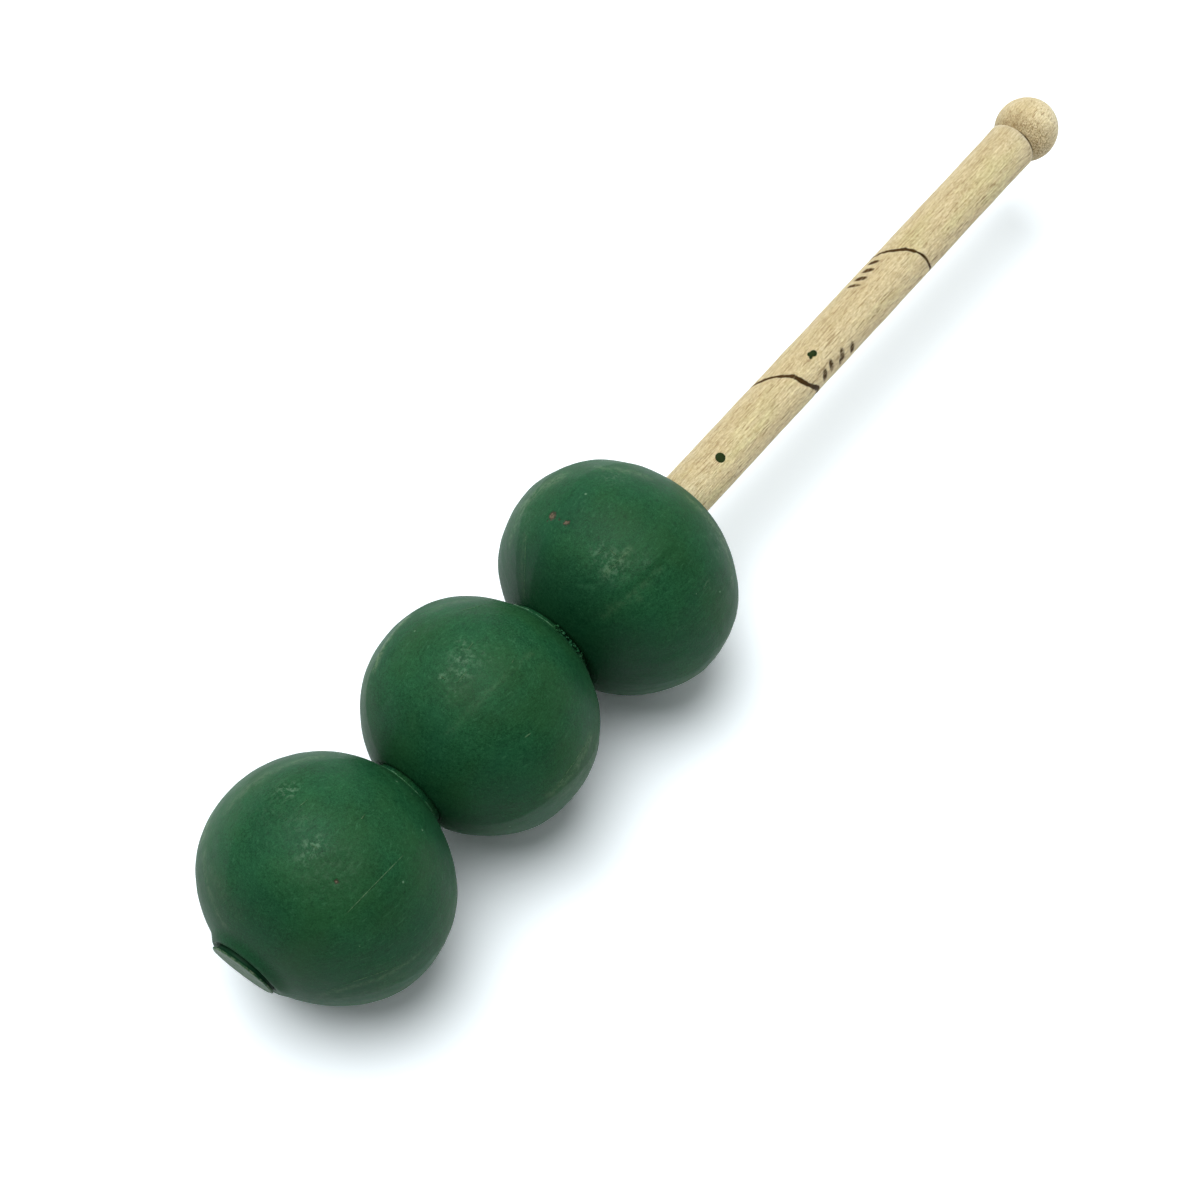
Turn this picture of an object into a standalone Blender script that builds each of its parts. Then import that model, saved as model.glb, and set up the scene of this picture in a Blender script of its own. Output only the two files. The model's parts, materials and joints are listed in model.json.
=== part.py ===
# Seed pod rattle: three hollow pods threaded on a turned stick, with loose seeds inside
# Metres, +Z up. The stick lies along X, the pods rest on Z = 0, and X = 0 is halfway along.

import math

import bmesh
import bpy

# Fits
GAP = 0.0003                    # between pieces that touch

# Stick with its turned knob
STICK_DIAMETER = 0.0127
GRIP_LENGTH = 0.1375            # bare stick between the handle pod and the knob's groove
STICK_CHAMFER = 0.0005
GROOVE_DEPTH = 0.0005
GROOVE_WIDTH = 0.0002
KNOB_DIAMETER = 0.0164

# Pods
POD_WALL = 0.0022
RIDGE_DEPTH = 0.0140            # hollow between two ridges, per unit of radius
RIDGE_COUNT = 6

TIP_POD_RADIUS = 0.0295
TIP_POD_HALF_LENGTH = 0.0268
TIP_POD_TURN = 30.0             # degrees from straight down to the nearest ridge

MIDDLE_POD_RADIUS = 0.0285
MIDDLE_POD_HALF_LENGTH = 0.0258
MIDDLE_POD_TURN = 14.0

HANDLE_POD_RADIUS = 0.0295
HANDLE_POD_HALF_LENGTH = 0.0252
HANDLE_POD_TURN = 30.0
HANDLE_POD_SHIFT = -0.0016      # drilled off its centre, so it sits to one side of the stick

# Faces rubbed flat on the pods' ends
CAP_SEAT_RADIUS = 0.0088
TIP_JOINT_FLAT_RADIUS = 0.0100
HANDLE_JOINT_FLAT_RADIUS = 0.0126
GRIP_FLAT_RADIUS = 0.0082

# Disc over the end of the stick
CAP_DIAMETER = 0.0166
CAP_THICKNESS = 0.0029
CAP_EDGE = 0.0004

# Beads of glue and paint between the pods
TIP_BEAD_DIAMETER = 0.0186
TIP_BEAD_THICKNESS = 0.0010
HANDLE_BEAD_DIAMETER = 0.0246
HANDLE_BEAD_THICKNESS = 0.0007

# Loose seeds
SEEDS_PER_POD = 6
SEED_LENGTH = 0.0056
SEED_WIDTH = 0.0047
SEED_THICKNESS = 0.0040
SEED_TURN = 50.0                # degrees that each seed lies turned from the one before it

# Fineness of the faceted solids
POD_SIDES = 30
POD_ARC_STEPS = 14
STICK_SIDES = 32
KNOB_ARC_STEPS = 12
BEAD_ARC_STEPS = 4
SHARP_ANGLE = 40.0              # degrees between faces that are shaded as an edge
MERGE_DISTANCE = 0.00001

# Sizes that follow from these
STICK_RADIUS = STICK_DIAMETER / 2
DRILL_RADIUS = STICK_RADIUS + GAP
QUARTER_TURN = math.pi / 2


def flat_distance(radius, half_length, flat_radius):
    # how far from a pod's centre a flat of this radius cuts its end
    return half_length * math.sqrt(1 - (flat_radius / radius) ** 2)


def pod_sizes(name, radius, half_length, tip_flat, grip_flat, turn, shift):
    return {
        "name": name,
        "radius": radius,
        "half_length": half_length,
        "tip_face": flat_distance(radius, half_length, tip_flat),
        "grip_face": flat_distance(radius, half_length, grip_flat),
        "turn": math.radians(turn),
        "shift": shift,
    }


tip_pod = pod_sizes("tip_pod", TIP_POD_RADIUS, TIP_POD_HALF_LENGTH,
                    CAP_SEAT_RADIUS, TIP_JOINT_FLAT_RADIUS, TIP_POD_TURN, 0.0)
middle_pod = pod_sizes("middle_pod", MIDDLE_POD_RADIUS, MIDDLE_POD_HALF_LENGTH,
                       TIP_JOINT_FLAT_RADIUS, HANDLE_JOINT_FLAT_RADIUS, MIDDLE_POD_TURN, 0.0)
handle_pod = pod_sizes("handle_pod", HANDLE_POD_RADIUS, HANDLE_POD_HALF_LENGTH,
                       HANDLE_JOINT_FLAT_RADIUS, GRIP_FLAT_RADIUS, HANDLE_POD_TURN, HANDLE_POD_SHIFT)
pods = [tip_pod, middle_pod, handle_pod]

# Places along the stick, from the cap's outer face
cap_back = CAP_THICKNESS
tip_pod["x"] = cap_back + GAP + tip_pod["tip_face"]
tip_bead_start = tip_pod["x"] + tip_pod["grip_face"] + GAP
middle_pod["x"] = tip_bead_start + TIP_BEAD_THICKNESS + GAP + middle_pod["tip_face"]
handle_bead_start = middle_pod["x"] + middle_pod["grip_face"] + GAP
handle_pod["x"] = handle_bead_start + HANDLE_BEAD_THICKNESS + GAP + handle_pod["tip_face"]
stick_start = cap_back + GAP
shoulder = handle_pod["x"] + handle_pod["grip_face"] + GRIP_LENGTH
knob_radius = KNOB_DIAMETER / 2
groove_radius = STICK_RADIUS - GROOVE_DEPTH
knob_centre = shoulder + GROOVE_WIDTH + math.sqrt(knob_radius ** 2 - groove_radius ** 2)
knob_end = knob_centre + knob_radius
middle = knob_end / 2


def hollow_factor(angle):
    # 1 on a ridge, least halfway between two ridges
    return 1 - RIDGE_DEPTH * abs(math.sin(RIDGE_COUNT * angle / 2))


def facet_radius(pod):
    # facets touch the true round, so their corners stand just outside it
    return pod["radius"] / math.cos(math.pi / POD_SIDES)


def resting_radius(pod):
    # distance from the pod's axis down to its lowest corner
    drops = []
    for side in range(POD_SIDES):
        angle = 2 * math.pi * side / POD_SIDES
        drops.append(facet_radius(pod) * hollow_factor(angle) * math.cos(angle + pod["turn"]))
    return max(drops)


axis_height = max(resting_radius(pod) for pod in pods)

# Half the handle pod's shift, so that Y = 0 is halfway across
axis_side = -HANDLE_POD_SHIFT / 2


def new_collection(name):
    collection = bpy.data.collections.new(name)
    bpy.context.scene.collection.children.link(collection)
    return collection


def painted(name, colour, roughness):
    material = bpy.data.materials.new(name)
    material.use_nodes = True
    shader = material.node_tree.nodes["Principled BSDF"]
    shader.inputs["Base Color"].default_value = (*colour, 1)
    shader.inputs["Roughness"].default_value = roughness
    shader.inputs["Metallic"].default_value = 0
    material.diffuse_color = (*colour, 1)
    return material


def add_object(name, mesh, collection, material=None):
    item = bpy.data.objects.new(name, mesh)
    collection.objects.link(item)
    if material:
        mesh.materials.append(material)
    return item


def turned_mesh(name, profile, sides, closed=False):
    # profile of (radius, height) points, down the outer side, spun about Z
    count = len(profile)
    edges = [(i, i + 1) for i in range(count - 1)]
    if closed:
        edges.append((count - 1, 0))
    outline = bpy.data.meshes.new(name + "_outline")
    outline.from_pydata([(radius, 0, height) for radius, height in profile], edges, [])
    lathe = bpy.data.objects.new(name + "_lathe", outline)
    bpy.context.scene.collection.objects.link(lathe)
    screw = lathe.modifiers.new("turn", "SCREW")
    screw.steps = sides
    screw.render_steps = sides
    screw.use_merge_vertices = True
    screw.merge_threshold = MERGE_DISTANCE
    bpy.context.view_layer.update()
    evaluated = lathe.evaluated_get(bpy.context.evaluated_depsgraph_get())
    mesh = bpy.data.meshes.new_from_object(evaluated)
    mesh.name = name
    bpy.data.objects.remove(lathe)
    bpy.data.meshes.remove(outline)
    mesh.shade_smooth()
    mesh.set_sharp_from_angle(angle=math.radians(SHARP_ANGLE))
    return mesh


def lay_along_stick(item, x, y=0.0, turn=0.0):
    # the piece's own Z becomes the stick's axis
    item.rotation_mode = "ZYX"
    item.rotation_euler = (0, QUARTER_TURN, turn)
    item.location = (x - middle, axis_side + y, axis_height)


def as_cutter(item):
    item.hide_render = True
    item.display_type = "WIRE"


def cut(item, cutter, name):
    boolean = item.modifiers.new(name, "BOOLEAN")
    boolean.operation = "DIFFERENCE"
    boolean.solver = "EXACT"
    boolean.object = cutter


def pod_profile(radius, half_length, top, bottom):
    # a flattened ball, cut flat at top and bottom
    first = math.asin(top / half_length)
    last = -math.asin(bottom / half_length)
    points = [(0, top)]
    for step in range(POD_ARC_STEPS + 1):
        angle = first + (last - first) * step / POD_ARC_STEPS
        points.append((radius * math.cos(angle), half_length * math.sin(angle)))
    points.append((0, -bottom))
    return points


def make_pod(pod, parts, cutters, drill, material):
    profile = pod_profile(facet_radius(pod), pod["half_length"], pod["grip_face"], pod["tip_face"])
    mesh = turned_mesh(pod["name"], profile, POD_SIDES)
    for vertex in mesh.vertices:
        factor = hollow_factor(math.atan2(vertex.co.y, vertex.co.x))
        vertex.co.x *= factor
        vertex.co.y *= factor
    item = add_object(pod["name"], mesh, parts, material)
    lay_along_stick(item, pod["x"], pod["shift"], pod["turn"])

    hollow = pod_profile(pod["radius"] - POD_WALL, pod["half_length"] - POD_WALL,
                         pod["grip_face"] - POD_WALL, pod["tip_face"] - POD_WALL)
    cavity_name = pod["name"] + "_cavity"
    cavity = add_object(cavity_name, turned_mesh(cavity_name, hollow, POD_SIDES), cutters)
    lay_along_stick(cavity, pod["x"], pod["shift"], pod["turn"])
    as_cutter(cavity)
    cut(item, drill, "drill")
    cut(item, cavity, "cavity")


def make_drill(cutters):
    bpy.ops.mesh.primitive_cylinder_add(vertices=STICK_SIDES, radius=DRILL_RADIUS, depth=knob_end * 2)
    drill = bpy.context.object
    drill.name = "stick_drill"
    for collection in list(drill.users_collection):
        collection.objects.unlink(drill)
    cutters.objects.link(drill)
    lay_along_stick(drill, middle)
    as_cutter(drill)
    return drill


def make_stick(parts, material):
    profile = [(0, knob_end)]
    first = QUARTER_TURN
    last = -math.acos(groove_radius / knob_radius)
    for step in range(1, KNOB_ARC_STEPS + 1):
        angle = first + (last - first) * step / KNOB_ARC_STEPS
        profile.append((knob_radius * math.cos(angle), knob_centre + knob_radius * math.sin(angle)))
    profile += [
        (groove_radius, shoulder),
        (STICK_RADIUS, shoulder),
        (STICK_RADIUS, stick_start + STICK_CHAMFER),
        (STICK_RADIUS - STICK_CHAMFER, stick_start),
        (0, stick_start),
    ]
    stick = add_object("handle_stick", turned_mesh("handle_stick", profile, STICK_SIDES), parts, material)
    lay_along_stick(stick, 0)


def make_cap(parts, material):
    radius = CAP_DIAMETER / 2
    profile = [
        (0, CAP_THICKNESS),
        (radius - CAP_EDGE, CAP_THICKNESS),
        (radius, CAP_THICKNESS - CAP_EDGE),
        (radius, CAP_EDGE),
        (radius - CAP_EDGE, 0),
        (0, 0),
    ]
    cap = add_object("tip_cap", turned_mesh("tip_cap", profile, STICK_SIDES), parts, material)
    lay_along_stick(cap, 0)


def make_bead(name, start, diameter, thickness, parts, material):
    # flat on the pods, round on its outer side, with a hole for the stick
    half = thickness / 2
    profile = []
    for step in range(BEAD_ARC_STEPS + 1):
        angle = QUARTER_TURN - math.pi * step / BEAD_ARC_STEPS
        profile.append((diameter / 2 - half + half * math.cos(angle), half + half * math.sin(angle)))
    profile += [(DRILL_RADIUS, 0), (DRILL_RADIUS, thickness)]
    bead = add_object(name, turned_mesh(name, profile, STICK_SIDES, closed=True), parts, material)
    lay_along_stick(bead, start)


def cavity_radius(pod, offset):
    # least distance from the pod's axis to its inner wall, this far from its centre
    radius = pod["radius"] - POD_WALL
    half_length = pod["half_length"] - POD_WALL
    facets = math.cos(math.pi / POD_SIDES) * math.cos(QUARTER_TURN / POD_ARC_STEPS)
    return facets * radius * math.sqrt(max(0, 1 - (offset / half_length) ** 2))


def seed_mesh(name, turn):
    form = bmesh.new()
    bmesh.ops.create_icosphere(form, subdivisions=2, radius=1)
    spin = (math.cos(turn), math.sin(turn))
    for vertex in form.verts:
        along = vertex.co.x * SEED_LENGTH / 2
        across = vertex.co.y * SEED_WIDTH / 2
        vertex.co.x = along * spin[0] - across * spin[1]
        vertex.co.y = along * spin[1] + across * spin[0]
        vertex.co.z *= SEED_THICKNESS / 2
    mesh = bpy.data.meshes.new(name)
    form.to_mesh(mesh)
    form.free()
    mesh.shade_smooth()
    return mesh


def make_seeds(pod, parts, material):
    # each seed lies in its own lane on the bottom of the cavity and can travel round the stick
    axle = bpy.data.objects.new(pod["name"] + "_seed_axis", None)
    parts.objects.link(axle)
    axle.location = (pod["x"] - middle, axis_side + pod["shift"], axis_height)
    pitch = SEED_LENGTH + 2 * GAP
    for number in range(SEEDS_PER_POD):
        name = pod["name"] + "_seed_" + str(number + 1)
        mesh = seed_mesh(name, math.radians(SEED_TURN) * number)
        lane = (number - (SEEDS_PER_POD - 1) / 2) * pitch
        drop = pod["radius"]
        for vertex in mesh.vertices:
            room = cavity_radius(pod, lane + vertex.co.x) - GAP
            drop = min(drop, math.sqrt(room ** 2 - vertex.co.y ** 2) + vertex.co.z)
        seed = add_object(name, mesh, parts, material)
        seed.parent = axle
        seed.location = (lane, 0, -drop)


def main():
    for item in list(bpy.data.objects):
        bpy.data.objects.remove(item)
    parts = new_collection("seed_pod_rattle")
    cutters = new_collection("cutters")
    wood = painted("pale_turned_wood", (0.62, 0.48, 0.27), 0.55)
    green = painted("green_pod_paint", (0.020, 0.085, 0.036), 0.45)
    cap_green = painted("green_cap_paint", (0.024, 0.090, 0.040), 0.5)
    glue = painted("painted_glue", (0.030, 0.100, 0.050), 0.6)
    seed_brown = painted("dry_seed", (0.09, 0.045, 0.02), 0.4)

    drill = make_drill(cutters)
    make_stick(parts, wood)
    make_cap(parts, cap_green)
    make_bead("tip_joint_bead", tip_bead_start, TIP_BEAD_DIAMETER, TIP_BEAD_THICKNESS, parts, glue)
    make_bead("handle_joint_bead", handle_bead_start, HANDLE_BEAD_DIAMETER, HANDLE_BEAD_THICKNESS,
              parts, glue)
    for pod in pods:
        make_pod(pod, parts, cutters, drill, green)
        make_seeds(pod, parts, seed_brown)


main()
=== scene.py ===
import json
import math

import bmesh
import bpy
import numpy as np
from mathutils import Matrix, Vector


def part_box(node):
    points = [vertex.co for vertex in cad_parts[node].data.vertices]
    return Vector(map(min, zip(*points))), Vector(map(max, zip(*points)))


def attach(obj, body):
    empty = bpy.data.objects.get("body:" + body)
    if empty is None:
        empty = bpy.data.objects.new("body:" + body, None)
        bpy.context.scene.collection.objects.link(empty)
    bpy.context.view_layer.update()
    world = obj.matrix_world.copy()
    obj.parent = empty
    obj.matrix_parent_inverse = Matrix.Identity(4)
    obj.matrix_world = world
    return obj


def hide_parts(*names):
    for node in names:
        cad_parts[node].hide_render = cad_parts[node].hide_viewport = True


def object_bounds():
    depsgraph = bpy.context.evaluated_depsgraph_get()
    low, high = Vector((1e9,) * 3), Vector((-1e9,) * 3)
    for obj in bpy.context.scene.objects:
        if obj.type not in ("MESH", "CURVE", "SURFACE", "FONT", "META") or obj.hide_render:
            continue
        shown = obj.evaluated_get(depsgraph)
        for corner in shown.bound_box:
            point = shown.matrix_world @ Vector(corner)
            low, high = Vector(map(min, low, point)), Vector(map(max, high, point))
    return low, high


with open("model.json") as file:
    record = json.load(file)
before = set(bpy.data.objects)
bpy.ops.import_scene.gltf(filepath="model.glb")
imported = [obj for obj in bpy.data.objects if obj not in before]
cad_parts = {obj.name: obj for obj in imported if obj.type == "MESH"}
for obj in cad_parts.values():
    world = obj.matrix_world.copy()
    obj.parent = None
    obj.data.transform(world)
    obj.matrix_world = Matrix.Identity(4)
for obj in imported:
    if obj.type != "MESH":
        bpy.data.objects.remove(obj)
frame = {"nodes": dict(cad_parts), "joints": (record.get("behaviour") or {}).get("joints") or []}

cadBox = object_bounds()
rattleBody = "rattle"

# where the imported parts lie: the stick's axis, the start of its grip and the middle of each pod
stickLow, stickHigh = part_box("handle_stick")
axisY = (stickLow.y + stickHigh.y) / 2
axisZ = (stickLow.z + stickHigh.z) / 2
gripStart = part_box("handle_pod")[1].x
podMiddle = {}
for joint in frame["joints"]:
    podMiddle[joint["child"].rsplit("_seed_", 1)[0]] = Vector(joint["pos_m"])
print("frame loaded:", len(frame["nodes"]), "nodes,", len(podMiddle), "pods")


# camera, as the photo was taken
cameraLook = {
    "framePixels": 1200,
    "focalPixels": 2550,        # focal length in pixels of that frame
    "turn": -50.55,             # degrees round Z
    "rise": 62.47,              # degrees above the table
    "distance": 0.5914,
    "aimAlong": -0.03145,       # point on the table's level that the middle of the frame looks at
    "aimAcross": -0.00127,
    "sensor": 36.0,
}


def makeCamera(look):
    turn, rise = math.radians(look["turn"]), math.radians(look["rise"])
    ahead = Vector((-math.sin(turn) * math.cos(rise), math.cos(turn) * math.cos(rise), -math.sin(rise)))
    data = bpy.data.cameras.new("photoCamera")
    data.sensor_width = look["sensor"]
    data.lens = look["sensor"] * look["focalPixels"] / look["framePixels"]
    camera = bpy.data.objects.new("photoCamera", data)
    camera.location = Vector((look["aimAlong"], look["aimAcross"], axisZ)) - ahead * look["distance"]
    camera.rotation_euler = (math.pi / 2 - rise, 0, turn)
    bpy.context.scene.collection.objects.link(camera)
    bpy.context.scene.camera = camera
    right = Vector((math.cos(turn), math.sin(turn), 0))
    return {"place": camera.location.copy(), "ahead": ahead, "right": right, "down": ahead.cross(right)}


eye = makeCamera(cameraLook)
print("camera ready")


# mesh helpers

def gridMesh(name, rows, loopRows=False, startPole=None, endPole=None):
    # rows of points, each row running round the stick; poles close the ends
    count, around = rows.shape[:2]
    points = rows.reshape(-1, 3).tolist()
    index = np.arange(count * around).reshape(count, around)
    nextRound = np.roll(index, -1, axis=1)
    top = index if loopRows else index[:-1]
    topNext = nextRound if loopRows else nextRound[:-1]
    low = np.roll(index, -1, axis=0)[:len(top)]
    lowNext = np.roll(nextRound, -1, axis=0)[:len(top)]
    faces = np.stack([top, topNext, lowNext, low], axis=-1).reshape(-1, 4).tolist()
    if startPole is not None:
        points.append(tuple(startPole))
        faces += [(len(points) - 1, int(b), int(a)) for a, b in zip(index[0], nextRound[0])]
    if endPole is not None:
        points.append(tuple(endPole))
        faces += [(len(points) - 1, int(a), int(b)) for a, b in zip(index[-1], nextRound[-1])]
    mesh = bpy.data.meshes.new(name)
    mesh.from_pydata(points, [], faces)
    work = bmesh.new()
    work.from_mesh(mesh)
    bmesh.ops.recalc_face_normals(work, faces=work.faces)
    work.to_mesh(mesh)
    work.free()
    mesh.shade_smooth()
    return mesh


def addPiece(name, mesh, material, slot, body, *nodes):
    piece = bpy.data.objects.new(name, mesh)
    bpy.context.scene.collection.objects.link(piece)
    mesh.materials.append(material)
    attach(piece, body)
    if nodes:
        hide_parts(*nodes)
    return piece


def storeMarks(mesh, name, channels):
    # up to four masks, kept on the points as one colour attribute; the fourth is 1 where it isn't given
    colours = np.zeros((len(mesh.vertices), 4), np.float32)
    colours[:, 3] = 1
    for number, mask in enumerate(channels):
        flat = mask.reshape(-1)
        colours[:len(flat), number] = flat
    attribute = mesh.attributes.new(name, "FLOAT_COLOR", "POINT")
    attribute.data.foreach_set("color", colours.reshape(-1))


def softNoise(points, size, seed):
    # smooth lumps of about this size, from -1 to 1
    dice = np.random.default_rng(seed)
    total = np.zeros(points.shape[:-1])
    waves = 14
    for _ in range(waves):
        direction = dice.normal(size=3)
        direction /= np.linalg.norm(direction)
        length = size * dice.uniform(0.7, 1.5)
        total += np.sin(points @ direction * 2 * math.pi / length + dice.uniform(0, 2 * math.pi))
    return total / math.sqrt(waves)


def lumps(points, amount, size, seed):
    return amount * softNoise(points, size, seed)


def smoothStep(value, low, high):
    share = np.clip((value - low) / (high - low), 0, 1)
    return share * share * (3 - 2 * share)


def bell(value):
    return np.exp(-value ** 2)


def roundAngles(sides):
    return np.linspace(0, 2 * math.pi, sides, endpoint=False)[None, :]


def roundStick(along, radius, angle, y, z):
    # angle runs from straight up towards -Y
    along, radius, angle = np.broadcast_arrays(along, radius, angle)
    return np.stack([along, y - radius * np.sin(angle), z + radius * np.cos(angle)], axis=-1)


# shader helpers

def put(tree, kind, inputs=None, **settings):
    node = tree.nodes.new(kind)
    for key, value in settings.items():
        setattr(node, key, value)
    for key, value in (inputs or {}).items():
        if isinstance(value, bpy.types.NodeSocket):
            tree.links.new(value, node.inputs[key])
        else:
            node.inputs[key].default_value = value
    return node


def mixed(tree, factor, first, second, blend="MIX"):
    first, second = (c if isinstance(c, bpy.types.NodeSocket) else (*c, 1) for c in (first, second))
    return put(tree, "ShaderNodeMix", {0: factor, 6: first, 7: second},
               data_type="RGBA", blend_type=blend).outputs[2]


def maths(tree, operation, first, second):
    return put(tree, "ShaderNodeMath", {0: first, 1: second}, operation=operation).outputs[0]


def times(tree, first, second):
    return maths(tree, "MULTIPLY", first, second)


def summed(tree, *parts):
    # values with their shares, added up
    total = None
    for value, share in parts:
        part = value if share == 1 else times(tree, value, share)
        total = part if total is None else maths(tree, "ADD", total, part)
    return total


def remapped(tree, value, low, high, newLow=0.0, newHigh=1.0):
    sockets = {"Value": value, "From Min": low, "From Max": high, "To Min": newLow, "To Max": newHigh}
    return put(tree, "ShaderNodeMapRange", sockets, clamp=True).outputs[0]


def noise(tree, place, scale, detail=4.0, roughness=0.55):
    sockets = {"Vector": place, "Scale": scale, "Detail": detail, "Roughness": roughness}
    return put(tree, "ShaderNodeTexNoise", sockets).outputs["Fac"]


def stretched(tree, place, scale):
    return put(tree, "ShaderNodeMapping", {"Vector": place, "Scale": scale}).outputs[0]


def facing(tree, way, direction):
    # how far a vector runs in a direction
    node = put(tree, "ShaderNodeVectorMath", {0: way, 1: direction}, operation="DOT_PRODUCT")
    return node.outputs["Value"]


def newMaterial(name):
    material = bpy.data.materials.new(name)
    material.use_nodes = True
    tree = material.node_tree
    place = put(tree, "ShaderNodeTexCoord").outputs["Object"]
    return material, tree, tree.nodes["Principled BSDF"], place


def readMarks(tree, name):
    # the masks that storeMarks kept
    stored = put(tree, "ShaderNodeAttribute", attribute_name=name)
    parts = put(tree, "ShaderNodeSeparateColor", {"Color": stored.outputs["Color"]}).outputs
    return parts["Red"], parts["Green"], parts["Blue"], stored.outputs["Alpha"]


def dress(tree, shader, look, colour, rough, height):
    # what every finish has: its colour, its roughness, and its relief through a bump
    bump = put(tree, "ShaderNodeBump",
               {"Height": height, "Strength": look["bump"], "Distance": look["relief"]})
    tree.links.new(colour, shader.inputs["Base Color"])
    tree.links.new(remapped(tree, rough, 0.3, 0.7, *look["roughness"]), shader.inputs["Roughness"])
    tree.links.new(bump.outputs[0], shader.inputs["Normal"])


def newGroup(name, vectors, values, outputs):
    group = bpy.data.node_groups.new(name, "ShaderNodeTree")
    for sockets, way, kind in ((vectors, "INPUT", "Vector"), (values, "INPUT", "Float"),
                               (outputs, "OUTPUT", "Float")):
        for socket in sockets:
            group.interface.new_socket(socket, in_out=way, socket_type="NodeSocket" + kind)
    return group, group.nodes.new("NodeGroupInput").outputs, group.nodes.new("NodeGroupOutput").inputs


def makeBrushGroup():
    # brushed paint: patchy tone, streaks along the brush, and their relief
    group, start, end = newGroup("brushedPaint", ["Place", "Streak"], ["Patch", "Grain"],
                                 ["Tone", "Drift", "Hairs", "Height"])
    place, patch, fine = start["Place"], start["Patch"], start["Grain"]
    patches = noise(group, place, patch, 4.0, 0.55)
    drift = noise(group, place, times(group, patch, 0.6), 3.0, 0.5)
    streaks = noise(group, stretched(group, place, start["Streak"]), 1.0, 4.0, 0.6)
    grain = noise(group, place, fine, 2.0, 0.7)
    dust = noise(group, place, times(group, fine, 3.2), 1.0, 0.6)
    hairs = noise(group, stretched(group, place, (330.0, 900.0, 2300.0)), 1.0, 3.0, 0.65)
    tone = summed(group, (patches, 0.20), (streaks, 0.12), (grain, 0.30), (dust, 0.38))
    group.links.new(remapped(group, tone, 0.37, 0.63), end["Tone"])
    group.links.new(remapped(group, drift, 0.35, 0.65), end["Drift"])
    group.links.new(hairs, end["Hairs"])
    group.links.new(summed(group, (streaks, 0.45), (grain, 0.55)), end["Height"])
    return group


def makeSpeckGroup():
    # sparse small specks, each a rounded dot in its own cell
    group, start, end = newGroup("scatteredSpecks", ["Place"], ["Cells", "Share", "Size"], ["Mask"])
    sockets = {"Vector": start["Place"], "Scale": start["Cells"]}
    cells = put(group, "ShaderNodeTexVoronoi", sockets).outputs
    pick = put(group, "ShaderNodeSeparateColor", {"Color": cells["Color"]}).outputs
    chosen = maths(group, "LESS_THAN", pick["Red"], start["Share"])
    reach = times(group, start["Size"], pick["Green"])
    dot = remapped(group, cells["Distance"], reach, times(group, reach, 0.6))
    group.links.new(times(group, chosen, dot), end["Mask"])
    return group


brushGroup = makeBrushGroup()
speckGroup = makeSpeckGroup()


# green paint on the pods, the cap and the beads

greenLook = {
    "darkGreen": (0.0016, 0.0370, 0.0110),
    "lightGreen": (0.0185, 0.1120, 0.0415),
    "paleHair": (0.0400, 0.1500, 0.0680),
    "darkHair": (0.0030, 0.0300, 0.0110),
    "yellowGreen": (0.0170, 0.0740, 0.0200),
    "blueGreen": (0.0070, 0.0690, 0.0320),
    "chalkAndHighlight": (0.1300, 0.2500, 0.1500),
    "scrapedAndHighlit": (0.1150, 0.2050, 0.1050),
    "bareShell": (0.2600, 0.1850, 0.1250),
    "darkShell": (0.0360, 0.0250, 0.0170),
    "paintedShade": (0.0005, 0.0220, 0.0080),     # painted shade: darker colour towards the tip end of the pods and in the cap's crevice
    "patch": 110.0,
    "streak": (110.0, 110.0, 520.0),
    "grain": 1400.0,
    "crumb": 850.0,             # grain of the scuffs and scrapes, and of their painted highlights
    "flake": 1500.0,            # and of the chips' ragged edges
    "specks": (330.0, 0.11, 0.15),          # cells, share of them with a speck, its size
    "speckShow": 0.75,
    "roughness": (0.46, 0.62),
    "ior": 1.22,
    "bump": 0.6,
    "relief": 0.00010,
}


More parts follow.
